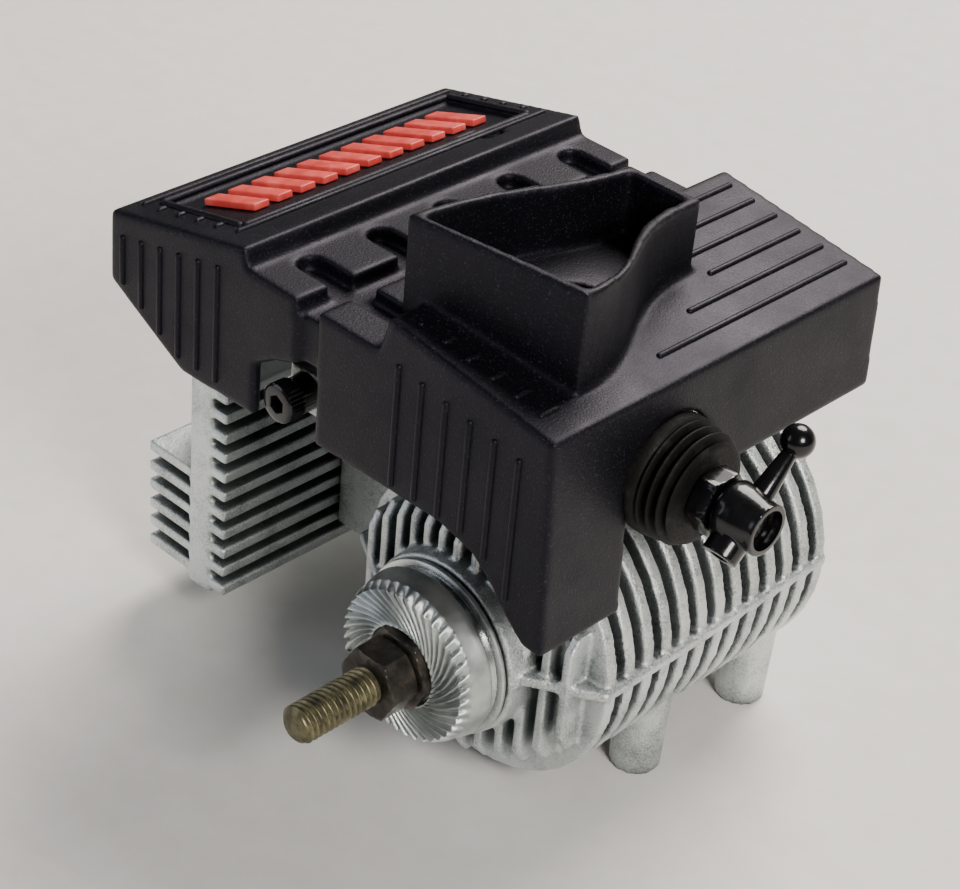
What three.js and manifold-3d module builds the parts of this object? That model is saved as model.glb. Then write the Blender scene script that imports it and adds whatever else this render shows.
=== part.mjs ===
// Bottom-mounted two-stroke model glow engine with a finned side head and a moulded top cover.
// Millimetres, +Z up. While building, x = 0 is the shaft axis, y = 0 the front rim of the
// thrust housing (the propeller end points to -Y) and z = 0 the feet of the four posts.
// The last lines move everything so that the origin is the centre of the base.
import * as THREE from 'three';
import { mergeVertices } from 'three/addons/utils/BufferGeometryUtils.js';
import Module from 'manifold-3d';

const wasm = await Module();
wasm.setup();

// driving dimensions
const gap = 0.3;
const shaftZ = 27;
const stroke = 15;
const bore = 18;
const finRadius = 24.6;
const finPitch = 4;
const finCount = 13;
const finThickness = 2.2;
const barrelSides = 32;
const curveSegments = 10;
const pistonLength = 13;
const bellowsInner = 5.3;
const barrelFront = 8;
const barrelRear = 59;
const coreRadius = 20.5;
const rimRadius = 14.2;
const shaftRadius = 6.8;
const studRadius = 3;
const studTip = -28.1;
const cylinderY = 42;
const headInnerX = -46.3;
const bandRightX = -49.6;
const bandLeftX = -54.6;
const headOuterX = -65;
const headFront = -1.1;
const headRear = 60.5;
const headHalfHeight = 19.6;
const headFinPitch = 3.6;
const headFins = 11;
const lowerLeftFins = 6;
const coverFront = -9.6;
const coverRear = 59.5;
const coverWall = 1.8;
const slotPitch = 13.4;
const slotWidth = 4.4;
const firstSlotY = -1.05;
const carbY = 14.3;
const carbZ = 64.5;
const throatX = 7;
const faceX = 26.4;
const rodLength = 28;
const pinX = -stroke / 2;
const wristX = pinX - rodLength;

const finish = {
  cast: { color: 0xa9b2ae, roughness: 0.55, metalness: 0.85 },
  machined: { color: 0xbfc3c1, roughness: 0.3, metalness: 0.95 },
  steel: { color: 0x8f9192, roughness: 0.3, metalness: 0.95 },
  olive: { color: 0x8d8a5c, roughness: 0.4, metalness: 0.8 },
  brown: { color: 0x5a5147, roughness: 0.5, metalness: 0.7 },
  plastic: { color: 0x1d1c20, roughness: 0.6, metalness: 0 },
  black: { color: 0x121214, roughness: 0.25, metalness: 0.5 },
  rubber: { color: 0x1b1a19, roughness: 0.85, metalness: 0 },
  brass: { color: 0xb08d4a, roughness: 0.35, metalness: 0.9 },
  bronze: { color: 0x8c6b45, roughness: 0.4, metalness: 0.85 },
  gasket: { color: 0xb07a4a, roughness: 0.6, metalness: 0.4 },
  red: { color: 0xc8413a, roughness: 0.5, metalness: 0 },
};

const engine = new THREE.Group();

function addMesh(name, geometry, finishName) {
  const material = new THREE.MeshStandardMaterial(finish[finishName]);
  const mesh = new THREE.Mesh(geometry, material);
  mesh.name = name;
  engine.add(mesh);
  return mesh;
}

function solid(geometry) {
  const plain = geometry.index ? geometry.toNonIndexed() : geometry.clone();
  plain.deleteAttribute('normal');
  plain.deleteAttribute('uv');
  const merged = mergeVertices(plain, 1e-4);
  return new wasm.Manifold(new wasm.Mesh({
    numProp: 3,
    vertProperties: new Float32Array(merged.attributes.position.array),
    triVerts: new Uint32Array(merged.index.array),
  }));
}

function geometryOf(shape) {
  const mesh = shape.getMesh();
  const geometry = new THREE.BufferGeometry();
  geometry.setAttribute('position', new THREE.BufferAttribute(new Float32Array(mesh.vertProperties), 3));
  geometry.setIndex(new THREE.BufferAttribute(new Uint32Array(mesh.triVerts), 1));
  return geometry;
}

function join(shapes) {
  return shapes.reduce((whole, shape) => whole.add(shape));
}

function cut(shape, tools) {
  return tools.reduce((left, tool) => left.subtract(tool), shape);
}

// a box given by its low and high corners
function block(low, high) {
  const size = high.map((value, i) => value - low[i]);
  const geometry = new THREE.BoxGeometry(...size);
  geometry.translate(...high.map((value, i) => (value + low[i]) / 2));
  return geometry;
}

// a round bar or cone along an axis from one end to the other, through the point (a, b) across it
function bar(axis, from, to, radiusFrom, radiusTo, a, b, sides = 24) {
  const geometry = new THREE.CylinderGeometry(radiusTo, radiusFrom, to - from, sides);
  geometry.translate(0, (from + to) / 2, 0);
  if (axis === 'y') geometry.translate(a, 0, b);
  if (axis === 'x') {
    geometry.rotateZ(-Math.PI / 2);
    geometry.translate(0, a, b);
  }
  if (axis === 'z') {
    geometry.rotateX(Math.PI / 2);
    geometry.translate(a, b, 0);
  }
  return geometry;
}

// a turned piece from (radius, position) points, with its axis along x or y
function turned(points, axis, a, b, sides = 32) {
  const profile = points.map(([radius, position]) => new THREE.Vector2(radius, position));
  profile.push(profile[0].clone());
  const geometry = new THREE.LatheGeometry(profile, sides);
  if (axis === 'x') {
    geometry.rotateZ(-Math.PI / 2);
    geometry.translate(0, a, b);
  } else {
    geometry.translate(a, 0, b);
  }
  return geometry;
}

// an outline in x and z pushed along y
function extrudeY(shape, from, to) {
  const geometry = new THREE.ExtrudeGeometry(shape, { depth: to - from, bevelEnabled: false, curveSegments });
  geometry.rotateX(Math.PI / 2);
  geometry.translate(0, to, 0);
  return geometry;
}

// an outline in x and y pushed along z
function extrudeZ(shape, from, to) {
  const geometry = new THREE.ExtrudeGeometry(shape, { depth: to - from, bevelEnabled: false, curveSegments });
  geometry.translate(0, 0, from);
  return geometry;
}

function outline(points) {
  return new THREE.Shape(points.map(([x, y]) => new THREE.Vector2(x, y)));
}

// a hexagonal bar along x or y
function hexBar(axis, from, to, acrossFlats, a, b) {
  return bar(axis, from, to, acrossFlats / Math.sqrt(3), acrossFlats / Math.sqrt(3), a, b, 6);
}

// a socket-head screw along +Y or -Y (sign), with its head's outer face at y
function socketScrew(name, x, y, z, headRadius, headLength, shankLength, sign, finishName = 'black') {
  const shank = headRadius * 0.5;
  const points = [
    [0, 0], [headRadius * 0.85, 0], [headRadius, 0.5], [headRadius, headLength],
    [shank, headLength], [shank, headLength + shankLength], [0, headLength + shankLength],
  ];
  const geometry = new THREE.LatheGeometry(points.map(([r, p]) => new THREE.Vector2(r, p)), 12);
  if (sign < 0) geometry.rotateX(Math.PI);
  geometry.translate(x, y, z);
  const socket = hexBar('y', sign > 0 ? y - 1 : y - headLength * 0.6, sign > 0 ? y + headLength * 0.6 : y + 1,
    headRadius * 0.9, x, z);
  addMesh(name, geometryOf(cut(solid(geometry), [solid(socket)])), finishName);
}

// crankcase: finned barrel round the shaft, ribbed nose, parting flange, posts and cylinder housing
function crankcase() {
  const shapes = [];
  shapes.push(solid(bar('y', barrelFront, barrelRear, coreRadius, coreRadius, 0, shaftZ, barrelSides)));
  for (let i = 0; i < finCount; i += 1) {
    const middle = barrelFront + 2 + i * finPitch;
    const from = middle - finThickness / 2;
    shapes.push(solid(bar('y', from, from + finThickness, finRadius, finRadius, 0, shaftZ, barrelSides)));
  }
  shapes.push(solid(bar('y', 0, barrelFront + 0.5, rimRadius, rimRadius + 0.6, 0, shaftZ, 28)));
  shapes.push(solid(noseRibs()));
  const flange = outline([[-25.4, 8], [-14.7, 1.6], [14.7, 1.6], [25.4, 8], [24.8, barrelRear], [-24.8, barrelRear]]);
  shapes.push(solid(extrudeZ(flange, shaftZ + 0.6, shaftZ + 2.2)));
  for (const x of [-16.5, 16.5]) {
    for (const y of [28.6, 54]) {
      shapes.push(solid(bar('z', 0, 20, 4, 4.6, x, y, 16)));
    }
  }
  shapes.push(solid(block([-46, 23.5, shaftZ - 14.5], [-14, barrelRear, shaftZ + 14.5])));
  shapes.push(solid(bar('z', 40, 53.5, 8.5, 8.5, throatX, carbY, 20)));
  shapes.push(solid(block([-31, -2.5, 54], [-23, 2.5, 61])));
  shapes.push(solid(block([-31, 1, 57.5], [-23, 32, 61])));
  shapes.push(solid(block([-31, 26, 40], [-23, 32, 61])));
  const tools = [
    bar('y', -1, 30, shaftRadius + gap, shaftRadius + gap, 0, shaftZ),
    bar('y', -1, 6.3, 10.3, 10.3, 0, shaftZ),
    bar('y', 22.7, 30, 13.3, 13.3, 0, shaftZ, 32),
    bar('y', 29.5, 70, 16.8, 16.8, 0, shaftZ, 32),
    bar('x', -47, 0, 11.3, 11.3, cylinderY, shaftZ, 32),
    bar('z', 30, 60, 5.6, 5.6, throatX, carbY, 16),
    block([-40, 50, shaftZ - 6], [-30, 70, shaftZ + 6]),
    bar('y', -5, 9, 1.9, 1.9, -27.3, 57.8, 12),
  ];
  for (const [x, z] of rearScrewPlaces()) {
    tools.push(bar('y', 50, 65, 1.3, 1.3, x, z, 12));
  }
  addMesh('crankcase', geometryOf(cut(join(shapes), tools.map(solid))), 'cast');
}

// upright plates round the thrust housing, rounded to the barrel's outline
function noseRibs() {
  const ribs = [];
  for (let i = -6; i <= 6; i += 1) {
    const x = i * 3.3;
    const half = Math.sqrt(Math.max(23 * 23 - x * x, 40)) * 0.86;
    const profile = outline([
      [1.6 + Math.abs(i) * 0.5, shaftZ - half + 2.5], [3.2 + Math.abs(i) * 0.5, shaftZ - half],
      [9, shaftZ - half], [9, shaftZ + half], [3.2 + Math.abs(i) * 0.5, shaftZ + half],
      [1.6 + Math.abs(i) * 0.5, shaftZ + half - 2.5],
    ]);
    const geometry = new THREE.ExtrudeGeometry(profile, { depth: 1.5, bevelEnabled: false });
    geometry.rotateX(Math.PI / 2);
    geometry.rotateZ(Math.PI / 2);
    geometry.translate(x - 0.75, 0, 0);
    ribs.push(solid(geometry));
  }
  const back = solid(bar('y', 7, 9, 20, coreRadius, 0, shaftZ, 24));
  return geometryOf(join([back, ...ribs]));
}

function rearScrewPlaces() {
  return [45, 135, 225, 315].map((degrees) => {
    const angle = THREE.MathUtils.degToRad(degrees);
    return [18.6 * Math.cos(angle), shaftZ + 18.6 * Math.sin(angle)];
  });
}

function backplate() {
  const plate = turned([[0, 54], [15.9, 54], [15.9, barrelRear + gap], [22, barrelRear + gap],
    [22, 61.2], [21.4, 61.8], [0, 61.8]], 'y', 0, shaftZ, 24);
  const holes = rearScrewPlaces().map(([x, z]) => bar('y', 50, 65, 1.5, 1.5, x, z, 12));
  addMesh('backplate', geometryOf(cut(solid(plate), holes.map(solid))), 'cast');
  rearScrewPlaces().forEach(([x, z], i) => {
    socketScrew(`backplate_screw_${i + 1}`, x, 63.9, z, 2.1, 1.8, 6, -1);
  });
}

// crankshaft with its web, counterweight and a crankpin that ends short of the rod's big end
function crankshaft() {
  const shapes = [
    bar('y', -0.6, 31, shaftRadius, shaftRadius, 0, shaftZ),
    bar('y', 30, 35, 15.6, 15.6, 0, shaftZ, 32),
    bar('y', 34, 39, 2.6, 2.6, pinX, shaftZ, 16),
  ].map(solid);
  const tools = [
    block([-20, 30.6, shaftZ + 7], [-2, 36, shaftZ + 20]),
    block([-20, 30.6, shaftZ - 20], [-2, 36, shaftZ - 7]),
    bar('y', 12, 45, 4.2, 4.2, 0, shaftZ, 20),
    block([-3, 11, shaftZ], [3, 17.5, shaftZ + 9]),
  ].map(solid);
  addMesh('crankshaft', geometryOf(cut(join(shapes), tools)), 'steel');
}

function shaftFront() {
  const stud = turned([[0, studTip], [studRadius - 0.6, studTip], [studRadius, studTip + 0.7],
    [studRadius, -0.95], [0, -0.95]], 'y', 0, shaftZ, 16);
  addMesh('threaded_stud', stud, 'olive');
  const washer = turned([[studRadius + gap, -7.2], [8.2, -7.2], [8.6, -8], [12, -8], [13.3, -2.8],
    [12.6, -2.4], [12.6, -1.6], [13.8, -1.2], [13.8, -0.4], [8.5, -0.4], [8.5, -0.95],
    [studRadius + gap, -0.95]], 'y', 0, shaftZ, 32);
  addMesh('drive_washer', washer, 'machined');
  const nutHole = solid(bar('y', -20, 0, studRadius + gap, studRadius + gap, 0, shaftZ));
  const lockHex = solid(hexBar('y', -9.1, -7.5, 11.5, 0, shaftZ));
  addMesh('lock_washer', geometryOf(lockHex.subtract(nutHole)), 'brown');
  const nut = solid(hexBar('y', -14.4, -9.4, 10, 0, shaftZ));
  addMesh('shaft_nut', geometryOf(nut.subtract(nutHole)), 'brown');
}

function bearing(name, from, to, inner, outer) {
  const middle = (inner + outer) / 2;
  const ring = turned([[inner, from], [middle, from + 0.4], [outer, from], [outer, to], [inner, to]],
    'y', 0, shaftZ, 20);
  addMesh(name, ring, 'steel');
}

// liner, piston, wrist pin and rod, drawn with the piston at the top of its stroke
function cylinderGroup() {
  const linerInner = bore / 2 + 0.1;
  addMesh('cylinder_liner', turned([[linerInner, -45.7], [11, -45.7], [11, -19], [linerInner, -19]],
    'x', cylinderY, shaftZ, 28), 'bronze');
  const crown = wristX - 8.5;
  const skirt = bore / 2 - 0.05;
  const piston = cut(solid(bar('x', crown, crown + pistonLength, skirt, skirt, cylinderY, shaftZ, 32)), [
    solid(bar('x', crown + 2.5, crown + 16, 7.4, 7.4, cylinderY, shaftZ, 24)),
    solid(bar('y', cylinderY - 12, cylinderY + 12, 2.5, 2.5, wristX, shaftZ, 16)),
  ]);
  addMesh('piston', geometryOf(piston), 'machined');
  addMesh('wrist_pin', bar('y', cylinderY - 8, cylinderY + 8, 2.2, 2.2, wristX, shaftZ, 16), 'steel');
  const rod = cut(join([
    solid(bar('y', 39.5, 44.5, 4.2, 4.2, wristX, shaftZ, 20)),
    solid(bar('y', 39.5, 44.5, 4.6, 4.6, pinX, shaftZ, 20)),
    solid(block([wristX + 2, 40.6, shaftZ - 2], [pinX - 2, 43.4, shaftZ + 2])),
  ]), [
    solid(bar('y', 38, 46, 2.5, 2.5, wristX, shaftZ, 16)),
    solid(bar('y', 38, 46, 2.7, 2.7, pinX, shaftZ, 16)),
  ]);
  addMesh('connecting_rod', geometryOf(rod), 'machined');
}

// finned head block with the flat band round its front edge
function headBlock() {
  const low = shaftZ - headHalfHeight;
  const shapes = [block([bandLeftX, headFront, low], [bandRightX, headRear, shaftZ + headHalfHeight])];
  for (let i = 0; i < headFins; i += 1) {
    const z = low + 2.2 + i * headFinPitch;
    shapes.push(block([bandRightX - 1, headFront, z - 0.95], [headInnerX, headRear, z + 0.95]));
    const front = i < lowerLeftFins ? headFront + 0.6 : 12;
    shapes.push(block([headOuterX, front, z - 0.95], [bandLeftX + 1, headRear, z + 0.95]));
  }
  const tools = [
    bar('x', -52, -40, 11.3, 11.3, cylinderY, shaftZ, 32),
    bar('x', -70, -50, 6.5, 6.5, cylinderY, shaftZ, 20),
  ];
  for (const [y, z] of headScrewPlaces()) {
    tools.push(bar('x', -80, -40, 1.6, 1.6, y, z, 12));
    tools.push(bar('x', -80, bandLeftX, 3, 3, y, z, 12));
  }
  addMesh('head_block', geometryOf(cut(join(shapes.map(solid)), tools.map(solid))), 'cast');
}

function headScrewPlaces() {
  const places = [];
  for (const side of [-1, 1]) {
    for (const up of [-1, 1]) places.push([cylinderY + side * 12.5, shaftZ + up * 10.8]);
  }
  return places;
}

function headParts() {
  const insert = turned([[3.3, -51.4], [11, -51.4], [11, -46.9], [8.4, -46.9], [3.3, -49]],
    'x', cylinderY, shaftZ, 24);
  addMesh('combustion_insert', insert, 'machined');
  addMesh('head_gasket', turned([[9.3, -46.6], [10.8, -46.6], [10.8, -46.0], [9.3, -46.0]],
    'x', cylinderY, shaftZ, 24), 'gasket');
  const plug = join([
    solid(bar('x', -55, -49.5, 3, 3, cylinderY, shaftZ, 16)),
    solid(hexBar('x', -58, -54.6, 8, cylinderY, shaftZ)),
    solid(bar('x', -61.5, -57.5, 2.2, 2.2, cylinderY, shaftZ, 16)),
    solid(bar('x', -64, -61, 1.1, 1.1, cylinderY, shaftZ, 12)),
  ]);
  addMesh('glow_plug', geometryOf(plug), 'steel');
  headScrewPlaces().forEach(([y, z], i) => {
    const head = turned([[0, -59.5], [2.2, -59.5], [2.6, -59], [2.6, bandLeftX - gap], [1.3, bandLeftX - gap],
      [1.3, headInnerX - 0.4], [0, headInnerX - 0.4]], 'x', y, z, 12);
    const socket = hexBar('x', -61, -57.6, 2.6, y, z);
    addMesh(`head_screw_${i + 1}`, geometryOf(cut(solid(head), [solid(socket)])), 'black');
  });
}

// moulded cover: outline of its front face in x and z
function coverProfile(inset) {
  const t = inset;
  return outline([
    [-63.6 + t, 45], [-63 + t, 73.9 - t], [-33.9 - t, 80.4 - t], [-32.9 - t * 0.5, 77.5 - t],
    [-6.9 + t * 0.5, 77.3 - t], [-5.2 + t, 83 - t], [25 - t, 78.7 - t], [26.8 - t, 40],
  ]);
}

// everything below the cover's lower edge: seen from the front, and a step in the right side
function belowCover() {
  const front = outline([
    [-80, 30], [-80, 62.2], [-63, 62.2], [-47, 54], [-31, 54.4], [-31, 63], [-27, 65.5], [-22, 67.4],
    [-18.4, 67.4], [-18.4, 56.2], [6, 56.6], [12.7, 55], [16.5, 52], [19.6, 48.5], [23, 45.6], [40, 45.6], [40, 30],
  ]);
  const rear = outline([[-80, 30], [-80, 62.2], [-63, 62.2], [-47, 56], [0, 60.5], [40, 60.5], [40, 30]]);
  return [extrudeY(front, coverFront - 5, 6.9), extrudeY(rear, 6.4, 80)];
}

// air scoop outline at its foot, wide at the front and narrowing through an S-curve to the rear
function scoopShape(grow) {
  const shape = new THREE.Shape();
  shape.moveTo(-8.6 - grow, -3 - grow);
  shape.lineTo(19.4 + grow, 0.4 - grow);
  shape.bezierCurveTo(19 + grow, 16, 9.3 + grow, 16, 9 + grow, 34.6 + grow);
  shape.lineTo(-3.4 - grow, 34.6 + grow);
  shape.bezierCurveTo(-3.4 - grow, 20, -9 - grow, 16, -8.6 - grow, -3 - grow);
  return shape;
}

// cuts the scoop's top to its slope: 94.6 high at the front, falling to the rear
function aboveScoop() {
  const wedge = new THREE.BoxGeometry(80, 90, 20);
  wedge.rotateX(-0.072);
  wedge.translate(5, 15, 104.2 - 0.7);
  return wedge;
}

function topCover() {
  const shell = solid(extrudeY(coverProfile(0), coverFront, coverRear));
  const inside = solid(extrudeY(coverProfile(coverWall), coverFront + coverWall, coverRear - coverWall));
  let cover = shell.subtract(inside);
  const scoop = solid(extrudeZ(scoopShape(0.4), 77, 100)).subtract(solid(aboveScoop()));
  const roofLine = solid(extrudeY(coverProfile(0.9), coverFront, coverRear));
  cover = cover.add(scoop.subtract(roofLine));
  const scoopInside = solid(extrudeZ(scoopShape(-1.2), 70, 110)).subtract(shell);
  const intakeMouth = solid(bar('z', 75, 90, 5.8, 5.8, throatX, carbY, 20));
  const channel = solid(block([-22.9, coverFront - 1, 74.9], [-18.8, coverRear + 1, 90]));
  const bed = solid(extrudeY(outline([[-32, 72.9], [-6, 72.9], [-6, 76.5], [-32, 76.5]]),
    coverFront + 0.5, coverRear - 0.5));
  const groove = solid(block([-22.5, coverFront - 1, 60], [-18.6, coverFront + 1.2, 90]));
  const backing = solid(block([-24, coverFront + 1.2, 68], [-17, coverFront + 3, 74]));
  cover = cover.add(bed).subtract(channel);
  for (let i = 0; i < 5; i += 1) {
    const y = firstSlotY + i * slotPitch;
    cover = cover.subtract(solid(block([-28.9, y - slotWidth / 2, 74.9], [-7.4, y + slotWidth / 2, 80])));
    cover = cover.subtract(solid(bar('z', 74.9, 80, slotWidth / 2, slotWidth / 2, -28.9, y, 16)));
  }
  cover = cover.add(backing).subtract(groove);
  const labelTool = new THREE.BoxGeometry(17, 58, 4);
  labelTool.rotateY(-Math.atan(0.2234));
  labelTool.translate(-50.44, 26, 77.75);
  cover = cover.subtract(solid(labelTool));
  const accessHole = solid(block([-44.5, 43.4, 70], [-38.5, 47.4, 90]));
  const bellowsHole = solid(bar('x', faceX - 5, faceX + 5, 9, 9, carbY, carbZ, 24));
  cover = cut(cover, [scoopInside, intakeMouth, accessHole, bellowsHole, ...belowCover().map(solid)]);
  addMesh('top_cover', geometryOf(cover), 'plastic');
}

// plain raised red bars in the recessed panel on the cover
function badgeBars() {
  const bars = [];
  const strip = new THREE.BoxGeometry(12, 50, 0.35);
  strip.translate(0, 0, -0.1);
  bars.push(solid(strip));
  for (let i = 0; i < 9; i += 1) {
    const one = new THREE.BoxGeometry(8.5, 3.2, 0.7);
    one.rotateZ(0.3);
    one.translate(0, -21.6 + i * 5.4, 0.3);
    bars.push(solid(one));
  }
  const geometry = geometryOf(join(bars));
  geometry.rotateY(-Math.atan(0.2234));
  geometry.translate(-50.13, 26, 76.39);
  addMesh('badge_bars', geometry, 'red');
}

function carburettor() {
  const body = cut(join([
    solid(bar('x', -2, faceX + 0.2, 7.6, 7.6, carbY, carbZ, 24)),
    solid(bar('z', 53.8, 62, 7.2, 7.2, throatX, carbY, 20)),
    solid(bar('z', 49, 55, 5.2, 5.2, throatX, carbY, 20)),
    solid(bar('z', 62, 74.5, 6.6, 7.2, throatX, carbY, 20)),
  ]), [
    solid(bar('x', 4.5, 40, 5.3, 5.3, carbY, carbZ, 20)),
    solid(bar('z', 40, 90, 3.6, 3.6, throatX, carbY, 16)),
    solid(bar('x', -5, 6, 1.7, 1.7, carbY, carbZ, 12)),
  ]);
  addMesh('carburettor_body', geometryOf(body), 'machined');
  const slide = join([
    solid(bar('x', 8.5, 23, 5, 5, carbY, carbZ, 20)),
    solid(bar('x', 22, 41, 1.9, 1.9, carbY, carbZ, 16)),
  ]);
  addMesh('throttle_slide', geometryOf(slide), 'steel');
  const needle = turned([[0, -10], [2.9, -10], [3.2, -9.6], [3.2, -3], [2.9, -2.6], [1.4, -2.6], [1.4, 3],
    [0, 4.2]], 'x', carbY, carbZ, 16);
  addMesh('needle_valve', needle, 'brass');
  const nipple = cut(join([
    solid(bar('y', carbY + 7.9, carbY + 10.5, 2.6, 2.6, 12, carbZ, 16)),
    solid(bar('y', carbY + 10, carbY + 17, 1.5, 1.5, 12, carbZ, 16)),
  ]), [solid(bar('y', carbY + 6, carbY + 20, 0.7, 0.7, 12, carbZ, 10))]);
  addMesh('fuel_nipple', geometryOf(nipple), 'brass');
}

function throttleLink() {
  const folds = [[7.6, faceX + 0.5], [8.2, 27.6], [8.2, 28.4], [6, 29.2], [7.8, 30], [7.8, 30.8], [5.9, 32]];
  const bellows = turned([[bellowsInner, faceX + 0.5], ...folds, [bellowsInner, 32]], 'x', carbY, carbZ, 24);
  addMesh('throttle_bellows', bellows, 'rubber');
  const hole = solid(bar('x', 30, 41.3, 2.2, 2.2, carbY, carbZ, 16));
  const nut = solid(hexBar('x', 32.3, 35.4, 8.4, carbY, carbZ));
  addMesh('lock_nut', geometryOf(nut.subtract(hole)), 'black');
  const tilt = THREE.MathUtils.degToRad(42);
  const linkX = 38.8;
  const direction = new THREE.Vector3(0, Math.cos(tilt), Math.sin(tilt));
  const turn = new THREE.Quaternion().setFromUnitVectors(new THREE.Vector3(0, 1, 0), direction);
  const placed = (geometry) => {
    geometry.applyQuaternion(turn);
    geometry.translate(linkX, carbY, carbZ);
    return geometry;
  };
  const piece = (from, to, r1, r2) => {
    const geometry = new THREE.CylinderGeometry(r2, r1, to - from, 16);
    geometry.translate(0, (from + to) / 2, 0);
    return placed(geometry);
  };
  const body = turned([[0, 35.8], [4, 35.8], [4.5, 36.6], [4.5, 38.6], [3.8, 41.2], [3.8, 42.6], [0, 42.6]],
    'x', carbY, carbZ, 20);
  const linkBody = cut(join([solid(body), solid(piece(-6.2, 0, 2.5, 2.7))]), [
    hole,
    solid(bar('x', 41, 45, 2.9, 2.9, carbY, carbZ, 20)),
    solid(piece(2.2, 6, 2.1, 2.1)),
    solid(piece(-8, -4.4, 1.3, 1.3)),
  ]);
  addMesh('link_body', geometryOf(linkBody), 'black');
  const ball = new THREE.SphereGeometry(2.4, 16, 10);
  ball.translate(0, 12.3, 0);
  const stud = join([solid(piece(2.5, 10.8, 1.8, 1.1)), solid(placed(ball))]);
  addMesh('ball_stud', geometryOf(stud), 'black');
  addMesh('pinch_screw', piece(-6, -4.7, 1, 1), 'steel');
}

crankcase();
bearing('front_bearing', 0.4, 6, shaftRadius + 0.15, 10);
bearing('rear_bearing', 23, 29.2, shaftRadius + 0.15, 13);
crankshaft();
shaftFront();
backplate();
cylinderGroup();
headBlock();
headParts();
carburettor();
throttleLink();
topCover();
badgeBars();
socketScrew('cover_screw', -27.3, -8.4, 57.8, 3.1, 4.6, 8, 1);

const extent = new THREE.Box3().setFromObject(engine);
engine.position.set(-(extent.min.x + extent.max.x) / 2, -(extent.min.y + extent.max.y) / 2, -extent.min.z);

export default engine;
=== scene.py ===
import bpy
import bmesh
from math import atan, cos, pi, radians, sin
from mathutils import Matrix, Vector


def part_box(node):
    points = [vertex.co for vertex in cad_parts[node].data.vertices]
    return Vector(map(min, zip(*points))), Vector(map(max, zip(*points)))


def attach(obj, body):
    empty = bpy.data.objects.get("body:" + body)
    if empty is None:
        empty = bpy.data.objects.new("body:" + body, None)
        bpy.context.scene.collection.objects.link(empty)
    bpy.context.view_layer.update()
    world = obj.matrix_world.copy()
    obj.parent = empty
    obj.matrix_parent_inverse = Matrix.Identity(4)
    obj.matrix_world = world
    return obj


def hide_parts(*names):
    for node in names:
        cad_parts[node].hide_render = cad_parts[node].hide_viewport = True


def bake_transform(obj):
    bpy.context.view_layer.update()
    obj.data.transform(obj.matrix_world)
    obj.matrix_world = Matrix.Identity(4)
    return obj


# Looks of a bottom-mounted model glow engine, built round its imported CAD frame.
# Shapes are drawn in millimetres from the shaft axis and the nose rim, then scaled to metres.
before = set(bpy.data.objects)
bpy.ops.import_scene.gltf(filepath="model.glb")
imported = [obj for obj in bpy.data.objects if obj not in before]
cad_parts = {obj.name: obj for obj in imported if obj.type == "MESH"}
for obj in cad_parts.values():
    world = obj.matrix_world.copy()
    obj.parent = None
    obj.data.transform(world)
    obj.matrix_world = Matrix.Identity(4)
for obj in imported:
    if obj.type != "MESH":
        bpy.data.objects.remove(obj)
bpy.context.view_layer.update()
mm = 0.001

# the local zero: on the shaft axis, at the nose rim just behind the drive washer, at the feet
washerLow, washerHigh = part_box("drive_washer")
shaftPoint = (washerLow + washerHigh) / 2
zero = Vector((shaftPoint.x, washerHigh.y + 0.4 * mm, 0))
toMetres = Matrix.Translation(zero) @ Matrix.Scale(mm, 4)
toLocal = toMetres.inverted()
shaftZ = shaftPoint.z / mm
slideLow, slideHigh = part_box("throttle_slide")
carbY = ((slideLow.y + slideHigh.y) / 2 - zero.y) / mm
carbZ = (slideLow.z + slideHigh.z) / 2 / mm
throatX = 7


def local(node):
    low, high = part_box(node)
    return toLocal @ low, toLocal @ high


linerLow, linerHigh = local("cylinder_liner")
cylinderY = (linerLow.y + linerHigh.y) / 2


def addObject(name, verts, faces):
    # doubles are merged and the normals turned outward
    mesh = bpy.data.meshes.new(name)
    mesh.from_pydata([tuple(v) for v in verts], [], faces)
    bm = bmesh.new()
    bm.from_mesh(mesh)
    bmesh.ops.remove_doubles(bm, verts=bm.verts, dist=1e-5)
    bmesh.ops.recalc_face_normals(bm, faces=bm.faces)
    bm.to_mesh(mesh)
    bm.free()
    obj = bpy.data.objects.new(name, mesh)
    bpy.context.scene.collection.objects.link(obj)
    return obj


def alongAxis(axis, radial1, radial2, position, a, b):
    if axis == "x":
        return (position, a + radial1, b + radial2)
    if axis == "y":
        return (a + radial1, position, b + radial2)
    return (a + radial1, b + radial2, position)


def turned(name, profile, axis, a, b, sides=96, radiusOf=None):
    # the profile's (radius, position) points go round the axis that passes through a, b
    verts, faces, count = [], [], len(profile)
    for s in range(sides):
        angle = 2 * pi * s / sides
        for i, (radius, position) in enumerate(profile):
            if radiusOf:
                radius, position = radiusOf(angle, i, radius, position)
            verts.append(alongAxis(axis, radius * cos(angle), radius * sin(angle), position, a, b))
    closed = profile[0][0] > 0 and profile[-1][0] > 0
    for s in range(sides):
        n = (s + 1) % sides
        for i in range(count if closed else count - 1):
            j = (i + 1) % count
            faces.append([s * count + i, s * count + j, n * count + j, n * count + i])
    return cleanDegenerate(addObject(name, verts, faces))


def cleanDegenerate(obj):
    bm = bmesh.new()
    bm.from_mesh(obj.data)
    bmesh.ops.dissolve_degenerate(bm, dist=1e-5, edges=bm.edges)
    bmesh.ops.recalc_face_normals(bm, faces=bm.faces)
    bm.to_mesh(obj.data)
    bm.free()
    return obj


def prism(name, outline, start, end):
    # a flat outline stood up along z
    verts = [(x, y, z) for z in (start, end) for x, y in outline]
    n = len(outline)
    faces = [list(range(n))[::-1], list(range(n, 2 * n))]
    faces += [[i, (i + 1) % n, n + (i + 1) % n, n + i] for i in range(n)]
    return addObject(name, verts, faces)


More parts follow.
